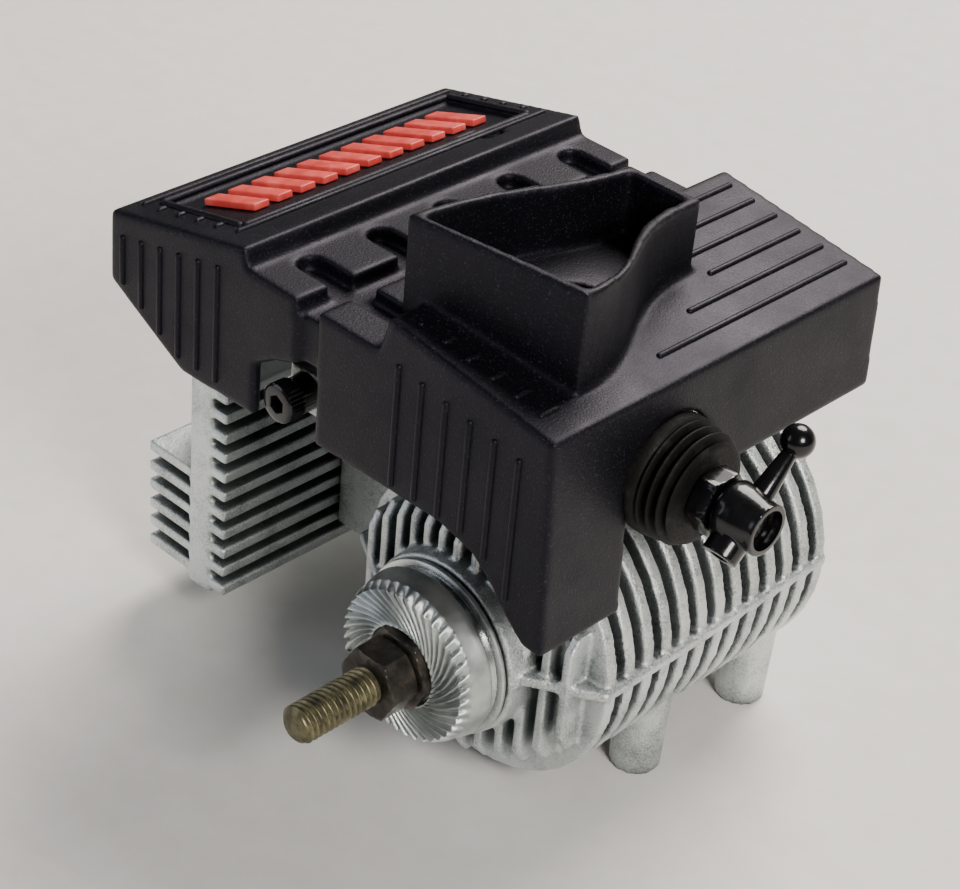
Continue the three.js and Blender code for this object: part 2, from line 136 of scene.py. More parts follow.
def cadCopy(node, name):
    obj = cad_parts[node].copy()
    obj.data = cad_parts[node].data.copy()
    obj.name = name
    obj.parent = None
    for key in list(obj.keys()):
        del obj[key]
    bpy.context.scene.collection.objects.link(obj)
    obj.data.transform(toLocal)
    obj.data.materials.clear()
    # doubles are welded, so that the copy is closed for remeshing and bevelling
    bm = bmesh.new()
    bm.from_mesh(obj.data)
    bmesh.ops.remove_doubles(bm, verts=bm.verts, dist=1e-4)
    bm.to_mesh(obj.data)
    bm.free()
    return obj


def applyModifiers(obj):
    bpy.context.view_layer.update()
    graph = bpy.context.evaluated_depsgraph_get()
    mesh = bpy.data.meshes.new_from_object(obj.evaluated_get(graph))
    old = obj.data
    obj.modifiers.clear()
    obj.data = mesh
    bpy.data.meshes.remove(old)
    return obj


def joined(name, objects):
    bm = bmesh.new()
    for obj in objects:
        bm.from_mesh(obj.data)
    mesh = bpy.data.meshes.new(name)
    bm.to_mesh(mesh)
    bm.free()
    for obj in objects:
        bpy.data.objects.remove(obj)
    obj = bpy.data.objects.new(name, mesh)
    bpy.context.scene.collection.objects.link(obj)
    return obj


def fused(name, objects, voxel, rounds):
    obj = joined(name, objects)
    remesh = obj.modifiers.new("fuse", "REMESH")
    remesh.mode = "VOXEL"
    remesh.voxel_size = voxel
    if rounds:
        smooth = obj.modifiers.new("round", "SMOOTH")
        smooth.factor = 0.5
        smooth.iterations = rounds
    return applyModifiers(obj)


def thinned(obj, keep):
    thin = obj.modifiers.new("thin", "DECIMATE")
    thin.ratio = keep
    return applyModifiers(obj)


def combined(obj, tools, operation):
    for tool in tools:
        step = obj.modifiers.new("step", "BOOLEAN")
        step.operation = operation
        step.solver = "MANIFOLD"
        step.object = tool
    applyModifiers(obj)
    for tool in tools:
        bpy.data.objects.remove(tool)
    return obj


def bevelled(obj, width, segments=3, angle=35):
    bm = bmesh.new()
    bm.from_mesh(obj.data)
    bmesh.ops.dissolve_limit(bm, angle_limit=radians(1), verts=bm.verts, edges=bm.edges)
    bm.to_mesh(obj.data)
    bm.free()
    bevel = obj.modifiers.new("edge", "BEVEL")
    bevel.width = width
    bevel.segments = segments
    bevel.limit_method = "ANGLE"
    bevel.angle_limit = radians(angle)
    bevel.harden_normals = False
    return applyModifiers(obj)


def handOver(obj, body, material, nodes=(), smoothAngle=40):
    obj.data.transform(toMetres)
    for polygon in obj.data.polygons:
        polygon.use_smooth = True
    obj.data.set_sharp_from_angle(angle=radians(smoothAngle))
    obj.data.materials.clear()
    obj.data.materials.append(material)
    if body:
        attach(obj, body)
    if nodes:
        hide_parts(*nodes)
    return obj


def toLinear(hexColour):
    channels = [int(hexColour[i:i + 2], 16) / 255 for i in (1, 3, 5)]
    return [c / 12.92 if c <= 0.04045 else ((c + 0.055) / 1.055) ** 2.4 for c in channels] + [1]


def addNode(tree, kind, settings=None, links=None):
    # a setting is a socket's value, a property or, on a colour ramp, its stops
    node = tree.nodes.new(kind)
    for key, value in (settings or {}).items():
        if key == "stops":
            elements = node.color_ramp.elements
            while len(elements) < len(value):
                elements.new(0.5)
            for element, (position, colour) in zip(elements, value):
                element.position = position
                element.color = toLinear(colour) if isinstance(colour, str) else (colour, colour, colour, 1)
        elif isinstance(key, int) or key in node.inputs:
            node.inputs[key].default_value = value
        else:
            setattr(node, key, value)
    for key, source in (links or {}).items():
        tree.links.new(source, node.inputs[key])
    return node


def newMaterial(name):
    material = bpy.data.materials.new(name)
    material.use_nodes = True
    tree = material.node_tree
    shader = tree.nodes["Principled BSDF"]
    where = addNode(tree, "ShaderNodeTexCoord").outputs["Object"]
    return material, tree, shader, where


def noiseScale(featureMm):
    return 1 / (featureMm * mm)


# die-cast aluminium, bead blasted: pale grey metal with a fine sparkle, with painted shade darkening it
# between the fins
castLook = {
    "colours": ("#5a6061", "#848b8b", "#d6dbdb"), "roughness": (0.28, 0.58), "metallic": 0.9,
    "gritMm": 0.32, "cloudMm": 7, "depthMm": 0.14,
    # the root entries set the painted shade between the fins: its reach, its colour and its share
    "rootMm": 4.5, "paintedShadeColour": "#6a7272", "paintedShadeShare": 0.85,
}


def blastedAluminium():
    material, tree, shader, where = newMaterial("blastedAluminium")
    gritScale, cloudScale = noiseScale(castLook["gritMm"]), noiseScale(castLook["cloudMm"])
    grit = addNode(tree, "ShaderNodeTexNoise", {"Scale": gritScale, "Detail": 2, "Roughness": 0.6},
                   {"Vector": where}).outputs["Fac"]
    cloud = addNode(tree, "ShaderNodeTexNoise", {"Scale": cloudScale, "Detail": 3, "Roughness": 0.6},
                    {"Vector": where}).outputs["Fac"]
    # grit and cloud in equal shares, with an offset that keeps them in the middle of the ramp
    lifted = addNode(tree, "ShaderNodeMath", {"operation": "MULTIPLY_ADD", 1: 0.35, 2: 0.32}, {0: cloud})
    speckle = addNode(tree, "ShaderNodeMath", {"operation": "MULTIPLY_ADD", 1: 0.35},
                      {0: grit, 2: lifted.outputs[0]})
    low, mid, high = castLook["colours"]
    metal = addNode(tree, "ShaderNodeValToRGB", {"stops": [(0.4, low), (0.54, mid), (0.7, high)]},
                    {"Fac": speckle.outputs[0]})
    # painted shade: an ambient occlusion mask darkens the colour in deep places between the fins, where shade
    # falls
    openness = addNode(tree, "ShaderNodeAmbientOcclusion",
                       {"Distance": castLook["rootMm"] * mm, "samples": 6})
    shade = addNode(tree, "ShaderNodeValToRGB",
                    {"stops": [(0.25, castLook["paintedShadeColour"]), (0.85, "#ffffff")]},
                    {"Fac": openness.outputs["AO"]})
    paintedShadeMix = addNode(tree, "ShaderNodeMix",
                    {"data_type": "RGBA", "blend_type": "MULTIPLY", "clamp_factor": True,
                     0: castLook["paintedShadeShare"]},
                    {6: metal.outputs["Color"], 7: shade.outputs["Color"]})
    tree.links.new(paintedShadeMix.outputs[2], shader.inputs["Base Color"])
    polished, dull = castLook["roughness"]
    rough = addNode(tree, "ShaderNodeValToRGB", {"stops": [(0.3, polished), (0.7, dull)]}, {"Fac": grit})
    tree.links.new(rough.outputs["Color"], shader.inputs["Roughness"])
    shader.inputs["Metallic"].default_value = castLook["metallic"]
    bump = addNode(tree, "ShaderNodeBump", {"Strength": 1.0, "Distance": castLook["depthMm"] * mm},
                   {"Height": grit})
    tree.links.new(bump.outputs["Normal"], shader.inputs["Normal"])
    return material


# glass-filled nylon moulded in a spark-eroded tool: near black, fine matt grain, pale dust in it
plasticLook = {
    "colours": ("#060608", "#09090d", "#34333d"), "roughness": (0.4, 0.54), "ior": 1.53,
    "specular": 0.2, "tint": "#e9e4ff", "grainMm": 0.34, "cloudMm": 11, "depthMm": 0.06,
}


def mouldedNylon():
    material, tree, shader, where = newMaterial("mouldedNylon")
    grainScale, cloudScale = noiseScale(plasticLook["grainMm"]), noiseScale(plasticLook["cloudMm"])
    grain = addNode(tree, "ShaderNodeTexNoise", {"Scale": grainScale, "Detail": 2, "Roughness": 0.6},
                    {"Vector": where}).outputs["Fac"]
    cloud = addNode(tree, "ShaderNodeTexNoise", {"Scale": cloudScale, "Detail": 3, "Roughness": 0.6},
                    {"Vector": where}).outputs["Fac"]
    dark, mid, dust = plasticLook["colours"]
    colour = addNode(tree, "ShaderNodeValToRGB", {"stops": [(0.35, dark), (0.6, mid), (0.78, dust)]},
                     {"Fac": grain})
    tree.links.new(colour.outputs["Color"], shader.inputs["Base Color"])
    polished, dull = plasticLook["roughness"]
    rough = addNode(tree, "ShaderNodeValToRGB", {"stops": [(0.3, polished), (0.7, dull)]}, {"Fac": cloud})
    tree.links.new(rough.outputs["Color"], shader.inputs["Roughness"])
    shader.inputs["IOR"].default_value = plasticLook["ior"]
    shader.inputs["Specular IOR Level"].default_value = plasticLook["specular"]
    shader.inputs["Specular Tint"].default_value = toLinear(plasticLook["tint"])
    bump = addNode(tree, "ShaderNodeBump", {"Strength": 1.0, "Distance": plasticLook["depthMm"] * mm},
                   {"Height": grain})
    tree.links.new(bump.outputs["Normal"], shader.inputs["Normal"])
    return material


# metal cut on a lathe: tool marks that catch the light in rings, and faint stains that dull it in patches
turnedLook = {"markMm": 0.008, "markStrength": 0.6, "stainMm": 4}


def turnedMetal(name, colours, roughness, pitchMm, axis, centre):
    material, tree, shader, where = newMaterial(name)
    # distance from the turning axis, so the tool marks are rings round it
    parts = addNode(tree, "ShaderNodeSeparateXYZ", links={"Vector": where})
    squares = []
    for letter, middle in zip([k for k in "XYZ" if k != axis], centre):
        away = addNode(tree, "ShaderNodeMath", {"operation": "SUBTRACT", 1: middle},
                       {0: parts.outputs[letter]}).outputs[0]
        square = addNode(tree, "ShaderNodeMath", {"operation": "MULTIPLY"}, {0: away, 1: away})
        squares.append(square.outputs[0])
    total = addNode(tree, "ShaderNodeMath", {"operation": "ADD"}, {0: squares[0], 1: squares[1]})
    radius = addNode(tree, "ShaderNodeMath", {"operation": "SQRT"}, {0: total.outputs[0]})
    # the place along the axis is added, so that a barrel is marked as well as a face
    travel = addNode(tree, "ShaderNodeMath", {"operation": "ADD"},
                     {0: radius.outputs[0], 1: parts.outputs[axis]})
    phase = addNode(tree, "ShaderNodeMath", {"operation": "MULTIPLY", 1: 2 * pi / (pitchMm * mm)},
                    {0: travel.outputs[0]})
    marks = addNode(tree, "ShaderNodeMath", {"operation": "SINE"}, {0: phase.outputs[0]})
    stainScale = noiseScale(turnedLook["stainMm"])
    stain = addNode(tree, "ShaderNodeTexNoise", {"Scale": stainScale, "Detail": 4, "Roughness": 0.6},
                    {"Vector": where}).outputs["Fac"]
    low, high = colours
    colour = addNode(tree, "ShaderNodeValToRGB", {"stops": [(0.35, low), (0.65, high)]}, {"Fac": stain})
    tree.links.new(colour.outputs["Color"], shader.inputs["Base Color"])
    polished, dull = roughness
    rough = addNode(tree, "ShaderNodeValToRGB", {"stops": [(0.3, polished), (0.7, dull)]}, {"Fac": stain})
    tree.links.new(rough.outputs["Color"], shader.inputs["Roughness"])
    shader.inputs["Metallic"].default_value = 1.0
    bump = addNode(tree, "ShaderNodeBump",
                   {"Strength": turnedLook["markStrength"], "Distance": turnedLook["markMm"] * mm},
                   {"Height": marks.outputs[0]})
    tree.links.new(bump.outputs["Normal"], shader.inputs["Normal"])
    return material


def spottedCoat(name, colours, roughness, metallic, grainMm, depthMm, coat=0.0, specular=0.5):
    # three tones in patches nine grains wide, over a grain that sets the gloss
    material, tree, shader, where = newMaterial(name)
    grainScale, patchScale = noiseScale(grainMm), noiseScale(grainMm * 9)
    grain = addNode(tree, "ShaderNodeTexNoise", {"Scale": grainScale, "Detail": 3, "Roughness": 0.6},
                    {"Vector": where}).outputs["Fac"]
    patch = addNode(tree, "ShaderNodeTexNoise", {"Scale": patchScale, "Detail": 3, "Roughness": 0.6},
                    {"Vector": where}).outputs["Fac"]
    low, mid, high = colours
    colour = addNode(tree, "ShaderNodeValToRGB", {"stops": [(0.35, low), (0.55, mid), (0.72, high)]},
                     {"Fac": patch})
    tree.links.new(colour.outputs["Color"], shader.inputs["Base Color"])
    polished, dull = roughness
    rough = addNode(tree, "ShaderNodeValToRGB", {"stops": [(0.3, polished), (0.7, dull)]}, {"Fac": grain})
    tree.links.new(rough.outputs["Color"], shader.inputs["Roughness"])
    shader.inputs["Metallic"].default_value = metallic
    shader.inputs["Coat Weight"].default_value = coat
    shader.inputs["Specular IOR Level"].default_value = specular
    bump = addNode(tree, "ShaderNodeBump", {"Strength": 1.0, "Distance": depthMm * mm}, {"Height": grain})
    tree.links.new(bump.outputs["Normal"], shader.inputs["Normal"])
    return material


shaftCentre = (shaftPoint.x, shaftPoint.z)
carbCentre = (zero.y + carbY * mm, carbZ * mm)
finish = {
    "cast": blastedAluminium(),
    "nylon": mouldedNylon(),
    # aluminium turned with a round tool and handled: soft, wide highlights
    "satin": turnedMetal("satinAluminium", ("#a9afae", "#cbd0ce"), (0.36, 0.48), 0.2, "Y", shaftCentre),
    # the same metal finished with a keen tool: bright, narrow rings of light
    "turned": turnedMetal("turnedAluminium", ("#b4b8b8", "#d6d9d8"), (0.16, 0.3), 0.12, "Y", shaftCentre),
    # casting alloy turned to size: a little greyer and duller than bar
    "carb": turnedMetal("turnedCarburettorAlloy", ("#a9acab", "#cfd2d0"), (0.25, 0.4), 0.15, "X", carbCentre),
    # hardened steel, ground: dark cool grey with close marks and sharp highlights
    "steel": turnedMetal("groundSteel", ("#85888a", "#a9acad"), (0.15, 0.32), 0.08, "Y", shaftCentre),
    # free-cutting brass straight from the lathe: warm yellow and bright
    "brass": turnedMetal("turnedBrass", ("#a8874a", "#c9a963"), (0.2, 0.36), 0.12, "X", carbCentre),
    # bronze honed for a bearing: brown, with a soft sheen
    "bronze": turnedMetal("honedBronze", ("#7d5c3a", "#a37a4d"), (0.28, 0.42), 0.2, "X", carbCentre),
    # olive chromate over zinc: dull yellow-green in uneven patches
    "olive": spottedCoat("olivePassivatedZinc", ("#4a4738", "#726d53", "#918c70"), (0.34, 0.52), 0.8,
                         0.3, 0.02),
    # thermal oxide on steel, oily and browned by use
    "brown": spottedCoat("brownedSteel", ("#2a2826", "#4a4641", "#665d50"), (0.3, 0.5), 0.8, 0.35, 0.03),
    # chemical black on polished steel: deep, sharp highlights
    "oxide": spottedCoat("blackOxideSteel", ("#0d0d10", "#141417", "#1e1e22"), (0.16, 0.28), 0.55,
                         0.6, 0.006, coat=0.35),
    # moulded rubber with dry dust on it
    "rubber": spottedCoat("dustyRubber", ("#060606", "#0b0b0a", "#1f1e1b"), (0.5, 0.7), 0.0,
                          0.35, 0.05, specular=0.16),
    # pad-printed paint: flat, slightly chalky red
    "red": spottedCoat("redPadPaint", ("#b93630", "#cf4640", "#dd6058"), (0.38, 0.52), 0.0, 0.3, 0.02),
    # annealed copper sheet, pink-brown with dull patches of tarnish
    "copper": spottedCoat("softCopper", ("#8d5433", "#b06f47", "#c88a60"), (0.3, 0.45), 0.95, 0.5, 0.01),
}
print("materials ready")


def softShell(node, name, shape, extras=()):
    # the CAD shape with its edges rounded as castings and mouldings have them
    shell = fused(name, [cadCopy(node, name), *extras], shape["voxelMm"], shape["rounds"])
    return thinned(shell, shape["keep"])


castShape = {"voxelMm": 0.38, "rounds": 3, "keep": 0.5}
barrelShape = {
    "fins": 13, "pitchMm": 4, "firstMm": 10, "radiusMm": 24.6, "tipMm": 1.7, "rootMm": 2.7,
    "coreMm": 20.5, "wallMm": 1.5, "frontMm": 8.2, "rearMm": 58.9, "boreMm": 11.35, "throatMm": 5.6,
}


def finnedRing():
    # the fins as true rings with drafted sides and round tips, open for the bore and the carburettor
    core, inside = barrelShape["coreMm"], barrelShape["coreMm"] - barrelShape["wallMm"]
    tip, root, top = barrelShape["tipMm"], barrelShape["rootMm"], barrelShape["radiusMm"]
    profile = [(inside, barrelShape["frontMm"]), (core, barrelShape["frontMm"])]
    for i in range(barrelShape["fins"]):
        y = barrelShape["firstMm"] + i * barrelShape["pitchMm"]
        profile += [(core, y - root / 2), (top - 0.9, y - tip / 2 - 0.25), (top - 0.25, y - tip / 2 + 0.1)]
        profile += [(top, y - 0.3), (top, y + 0.3)]
        profile += [(top - 0.25, y + tip / 2 - 0.1), (top - 0.9, y + tip / 2 + 0.25), (core, y + root / 2)]
    profile += [(core, barrelShape["rearMm"]), (inside, barrelShape["rearMm"])]
    ring = turned("finnedRing", profile, "y", 0, shaftZ, 160)
    bore, throat = barrelShape["boreMm"], barrelShape["throatMm"]
    boreTool = turned("boreTool", [(0, -60), (bore, -60), (bore, 0), (0, 0)], "x", cylinderY, shaftZ, 64)
    throatTool = turned("throatTool", [(0, 30), (throat, 30), (throat, 60), (0, 60)], "z", throatX, carbY, 48)
    return combined(ring, [boreTool, throatTool], "DIFFERENCE")


crankcase = softShell("crankcase", "crankcaseCasting", castShape, [finnedRing()])
handOver(crankcase, "engine_body", finish["cast"], ["crankcase"], 60)
head = softShell("head_block", "headCasting", castShape)
handOver(head, "engine_body", finish["cast"], ["head_block"], 60)
print("castings ready")

# moulded cover: two sloping roofs, with raised ribs and a raised frame round the badge panel
coverShape = {
    "voxelMm": 0.42, "rounds": 13, "keep": 0.45,
    "leftSlope": 0.2234, "leftEave": (-63, 73.9), "rightSlope": 0.143, "rightRidge": (-5.2, 83),
    "rightRoofRun": (-7.2, 57), "leftRoofRun": (-5.7, 57.8),
    "frontStub": (-6.2, -4.4), "rearStub": (56.4, 57.9),
    "panelFrame": (-58.9, -41.1, -3.4, 55.5), "frameWidth": 1.4, "frameProud": 0.5,
    "ribWidth": 1.0, "ribProud": 0.45,
    "rightFrontRibs": [(-2.7, 77.1, 57.5), (1.7, 76.5, 57.5), (6.2, 75.8, 57.2), (10.6, 75.2, 57.2),
                       (15.1, 74.6, 55.3), (19.5, 73.9, 51.2)],
    "leftFrontRibs": [(-60.1, 71.0, 62.6), (-55.9, 71.9, 60.4), (-51.7, 72.8, 58.0), (-47.5, 73.7, 56.0),
                      (-43.3, 74.6, 56.0), (-39.1, 75.5, 56.0)],
    "rightRoofRibs": [-1.9, 2.5, 6.8, 11.2, 15.5, 19.9],
    "leftRoofRibs": [-60.5, -56.4, -52.2, -48.1, -43.9, -39.8],
    "scoopEnds": [(-6.4, 36.8), (-4.6, 36.8), (-4.3, 36.8), (-4.1, 36.4), (-3.8, 27.0), (-3.5, 15.8)],
}
coverFront = local("top_cover")[0].y


def leftRoof(x):
    eaveX, eaveZ = coverShape["leftEave"]
    return eaveZ + coverShape["leftSlope"] * (x - eaveX)


def rightRoof(x):
    ridgeX, ridgeZ = coverShape["rightRidge"]
    return ridgeZ - coverShape["rightSlope"] * (x - ridgeX)


def rib(name, start, end, up, width, proud, steps=8):
    # a half-round bead with rounded ends, its middle line lying in the surface
    start, end, up = Vector(start), Vector(end), Vector(up).normalized()
    along = (end - start).normalized()
    side = along.cross(up)
    half = width / 2
    stations = [(half * (1 - cos(pi / 2 * i / 4)), sin(pi / 2 * i / 4)) for i in range(1, 5)]
    length = (end - start).length
    rows = stations + [(length - a, s) for a, s in reversed(stations)]
    ring = 2 * steps
    verts = [start]
    for away, size in rows:
        for k in range(ring):
            angle = pi * k / steps
            point = start + along * away + side * (half * size * cos(angle))
            verts.append(point + up * (proud * size * sin(angle)))
    verts.append(end)
    last = len(verts) - 1
    faces = [[0, 1 + k, 1 + (k + 1) % ring] for k in range(ring)]
    for r in range(len(rows) - 1):
        a, b = 1 + r * ring, 1 + (r + 1) * ring
        faces += [[a + k, b + k, b + (k + 1) % ring, a + (k + 1) % ring] for k in range(ring)]
    tail = 1 + (len(rows) - 1) * ring
    faces += [[last, tail + (k + 1) % ring, tail + k] for k in range(ring)]
    return addObject(name, verts, faces)


def coverBeads():
    wide, proud = coverShape["ribWidth"], coverShape["ribProud"]
    rightUp, leftUp = (coverShape["rightSlope"], 0, 1), (-coverShape["leftSlope"], 0, 1)
    beads = []
    for x, top, foot in coverShape["rightFrontRibs"] + coverShape["leftFrontRibs"]:
        beads.append(rib("rib", (x, coverFront, foot), (x, coverFront, top), (0, -1, 0), wide, proud))
    # on the right each roof rib stops at the scoop and goes on behind it
    front, rear = coverShape["rightRoofRun"]
    for x, (frontEnd, rearStart) in zip(coverShape["rightRoofRibs"], coverShape["scoopEnds"]):
        z = rightRoof(x)
        beads.append(rib("rib", (x, front, z), (x, frontEnd, z), rightUp, wide, proud))
        beads.append(rib("rib", (x, rearStart, z), (x, rear, z), rightUp, wide, proud))
    # on the left only the outermost two run past the badge panel, and the others are stubs at its ends
    ribs = coverShape["leftRoofRibs"]
    for x in ribs:
        z = leftRoof(x)
        runs = ["leftRoofRun"] if x in (ribs[0], ribs[-1]) else ["frontStub", "rearStub"]
        for front, rear in (coverShape[run] for run in runs):
            beads.append(rib("rib", (x, front, z), (x, rear, z), leftUp, wide, proud))
    left, right, near, far = coverShape["panelFrame"]
    corners = [(x, y, leftRoof(x)) for x, y in ((left, near), (right, near), (right, far), (left, far))]
    wide, proud = coverShape["frameWidth"], coverShape["frameProud"]
    for corner, following in zip(corners, corners[1:] + corners[:1]):
        beads.append(rib("frame", corner, following, leftUp, wide, proud))
    return beads


cover = softShell("top_cover", "coverMoulding", coverShape)
combined(cover, coverBeads(), "UNION")
handOver(cover, "engine_body", finish["nylon"], ["top_cover"], 50)

badgeShape = {
    "bars": 11, "pitchMm": 4.5, "acrossMm": 8.6, "barMm": 2.9, "slant": 0.28, "proudMm": 0.75, "sunkMm": 0.35,
    "lowerMm": 0.2, "edgeMm": 0.22,
}


def badgeBars():
    # plain slanted bars in place of lettering, standing on the floor of the sunk panel
    bars = []
    half, across = badgeShape["barMm"] / 2, badgeShape["acrossMm"] / 2
    lean = badgeShape["slant"] * across
    for i in range(badgeShape["bars"]):
        y = (i - (badgeShape["bars"] - 1) / 2) * badgeShape["pitchMm"]
        outline = [(-across, y - half - lean), (across, y - half + lean)]
        outline += [(across, y + half + lean), (-across, y + half - lean)]
        bars.append(prism("bar", outline, -badgeShape["sunkMm"], badgeShape["proudMm"]))
    rows = joined("badgeBars", bars)
    low, high = local("badge_bars")
    middle = (low + high) / 2 - Vector((0, 0, badgeShape["lowerMm"]))
    roof = Matrix.Rotation(-atan(coverShape["leftSlope"]), 4, "Y")
    rows.data.transform(Matrix.Translation(middle) @ roof)
    return bevelled(rows, badgeShape["edgeMm"])


handOver(badgeBars(), "engine_body", finish["red"], ["badge_bars"])
print("cover ready")

# drive washer, with curved teeth cut in its face to grip the propeller
washerShape = {
    "teeth": 40, "depthMm": 0.8, "innerMm": 6.3, "edgeMm": 12.0, "sweep": 0.7, "sides": 640,
    "rise": 0.66, "toothEndMm": 2.0, "fadeFromMm": 0.6, "faceMm": 0.15, "groove": (5.42, 6.78),
}
washerFront, washerBack = (corner.y for corner in local("drive_washer"))


def washerProfile():
    f = washerFront
    points = [(3.6, washerBack), (3.6, f + 0.9), (5.9, f + 0.9)]
    points += [(washerShape["innerMm"] + 5.4 * i / 36, f + 0.1) for i in range(37)]
    points += [(11.8, f + 0.14), (11.95, f + 0.3), (12.08, f + 0.55)]
    points += [(12.1 + 0.08 * i, f + 0.6 + 0.2 * i) for i in range(1, 8)]
    points += [(12.65, f + 2.4), (13.1, f + 4.2), (13.3, f + 5.0), (13.3, f + 5.25), (13.15, f + 5.4)]
    points += [(12.6, f + 5.45), (12.6, f + 6.6), (12.7, f + 6.75), (13.65, f + 6.8), (13.8, f + 6.95)]
    points += [(13.8, washerBack - 0.15), (13.65, washerBack)]
    return points


def withTeeth(angle, i, radius, position):
    # the teeth sweep back as they run out, rise slowly and fall fast, and die out down the side
    inner, edge, end = washerShape["innerMm"], washerShape["edgeMm"], washerShape["toothEndMm"]
    depth = position - washerFront
    if radius < inner or depth > end:
        return radius, position
    reach = min((radius - inner) / (edge - inner), 1.15)
    turn = angle - washerShape["sweep"] * (1.5 * reach - 0.5 * reach * reach)
    phase = (turn * washerShape["teeth"] / (2 * pi)) % 1
    rise = washerShape["rise"]
    height = 0.5 - 0.5 * cos(pi * (phase / rise if phase < rise else (1 - phase) / (1 - rise)))
    start = washerShape["fadeFromMm"]
    fade = min(1, reach * 5 + 0.1) * (1 if depth < start else max(0, (end - depth) / (end - start)))
    cut = washerShape["depthMm"] * fade * (1 - height)
    if depth < washerShape["faceMm"]:
        return radius, position + cut
    return radius - cut * 0.75, position + cut * 0.5


washer = turned("driveWasher", washerProfile(), "y", 0, shaftZ, washerShape["sides"], withTeeth)
handOver(washer, "crank", finish["satin"], ["drive_washer"], 45)
# the groove behind the rim is cut brighter than the rest
washer.data.materials.append(finish["turned"])
grooveStart, grooveEnd = (washerFront + edge for edge in washerShape["groove"])
for polygon in washer.data.polygons:
    if grooveStart < (toLocal @ polygon.center).y < grooveEnd:
        polygon.material_index = 1
print("drive washer ready")

# prop stud, with its real thread
studShape = {"radiusMm": 3.0, "pitchMm": 1.0, "depthMm": 0.55, "sides": 48, "perTurn": 8, "chamferMm": 0.8}


def threadedStud():
    low, high = local("threaded_stud")
    length = high.y - low.y
    rows = int(length / studShape["pitchMm"] * studShape["perTurn"])
    sides = studShape["sides"]
    verts = [(0, low.y, shaftZ)]
    for r in range(rows + 1):
        away = length * r / rows
        for s in range(sides):
            angle = 2 * pi * s / sides
            phase = (away / studShape["pitchMm"] + s / sides) % 1
            crest = min(1, 2.6 * abs(phase - 0.5))
            radius = studShape["radiusMm"] - studShape["depthMm"] * (1 - crest)
            radius = min(radius, studShape["radiusMm"] - studShape["chamferMm"] + away * 1.2)
            verts.append((radius * cos(angle), low.y + away, shaftZ + radius * sin(angle)))
    verts.append((0, high.y, shaftZ))
    faces = [[0, 1 + s, 1 + (s + 1) % sides] for s in range(sides)]
    for r in range(rows):
        a, b = 1 + r * sides, 1 + (r + 1) * sides
        faces += [[a + s, b + s, b + (s + 1) % sides, a + (s + 1) % sides] for s in range(sides)]
    tail, last = 1 + rows * sides, len(verts) - 1
    faces += [[last, tail + (s + 1) % sides, tail + s] for s in range(sides)]
    return addObject("propStud", verts, faces)


handOver(threadedStud(), "crank", finish["olive"], ["threaded_stud"], 70)


# nuts: a hexagon whose corners are turned down to a cone at each end
nutShape = {
    "propNut": {"acrossMm": 10.0, "holeMm": 2.9}, "lockWasher": {"acrossMm": 11.5, "holeMm": 3.0},
    "linkLockNut": {"acrossMm": 8.4, "holeMm": 2.2},
    "sides": 96, "face": 0.96, "rim": 0.985, "cone": 0.55, "cornerMm": 0.06,
}


def hexNut(name, node, axis, a, b):
    low, high = local(node)
    start, end = {"x": (low.x, high.x), "y": (low.y, high.y)}[axis]
    flat, sides = nutShape[name]["acrossMm"] / 2, nutShape["sides"]
    corner, rim = flat / cos(pi / 6), flat * nutShape["rim"]
    depth = (corner - flat) * nutShape["cone"]
    # each ring has its place and the cone's radius there, and the hole's rings have none
    cone = [(0, flat * nutShape["face"])]
    cone += [(t, rim + (corner - rim) * t) for t in (0.25, 0.6)] + [(1, corner)]
    rings = [(start, None)] + [(start + depth * t, limit) for t, limit in cone]
    rings += [(end - depth * t, limit) for t, limit in reversed(cone)] + [(end, None)]
    verts, faces = [], []
    for position, limit in rings:
        for s in range(sides):
            angle = 2 * pi * s / sides
            radius = nutShape[name]["holeMm"]
            if limit:
                away = (angle + pi / 6) % (pi / 3) - pi / 6
                worn = nutShape["cornerMm"] * max(0, abs(away) - 0.47) / 0.053
                radius = min(flat / cos(away) - worn, limit)
            verts.append(alongAxis(axis, radius * sin(angle), radius * cos(angle), position, a, b))
    for r in range(len(rings)):
        n = (r + 1) % len(rings)
        for s in range(sides):
            t = (s + 1) % sides
            faces.append([r * sides + s, n * sides + s, n * sides + t, r * sides + t])
    return cleanDegenerate(addObject(name, verts, faces))


propNut = hexNut("propNut", "shaft_nut", "y", 0, shaftZ)
handOver(propNut, "crank", finish["brown"], ["shaft_nut"], 25)
lockWasher = hexNut("lockWasher", "lock_washer", "y", 0, shaftZ)
handOver(lockWasher, "crank", finish["brown"], ["lock_washer"], 25)
linkNut = hexNut("linkLockNut", "lock_nut", "x", carbY, carbZ)
handOver(linkNut, "throttle", finish["oxide"], ["lock_nut"], 25)
print("stud and nuts ready")

# throttle bellows: folded rubber round the carburettor's axis, built in one fixed shape
bellowsShape = {"crest": 8.75, "taper": 0.55, "fold": 2.1, "folds": 3, "foldedShare": 0.93, "steps": 60}
low, high = local("throttle_bellows")


def bellowsProfile(x0, x1):
    # a rear sleeve in the cover's hole, the folds, a closed front lip, then back along the inside
    span = x1 - x0
    profile = [(7.75, x0 - 2.2), (8.85, x0 - 2.2), (8.9, x0 - 0.4)]
    for i in range(bellowsShape["steps"] + 1):
        t = i / bellowsShape["steps"]
        crest = bellowsShape["crest"] - bellowsShape["taper"] * t
        valley = (0.5 - 0.5 * cos(2 * pi * (bellowsShape["folds"] * t - 0.22))) ** 1.4
        profile.append((crest - bellowsShape["fold"] * valley, x0 + span * bellowsShape["foldedShare"] * t))
    profile += [(7.1, x0 + span * 0.985), (6.3, x1 - 0.02), (4.4, x1 - 0.05), (2.3, x1 - 0.05)]
    profile += [(2.3, x1 - 0.75), (5.3, x1 - 0.75), (5.4, x0 + 0.4), (6.4, x0), (7.75, x0 - 0.2)]
    return profile


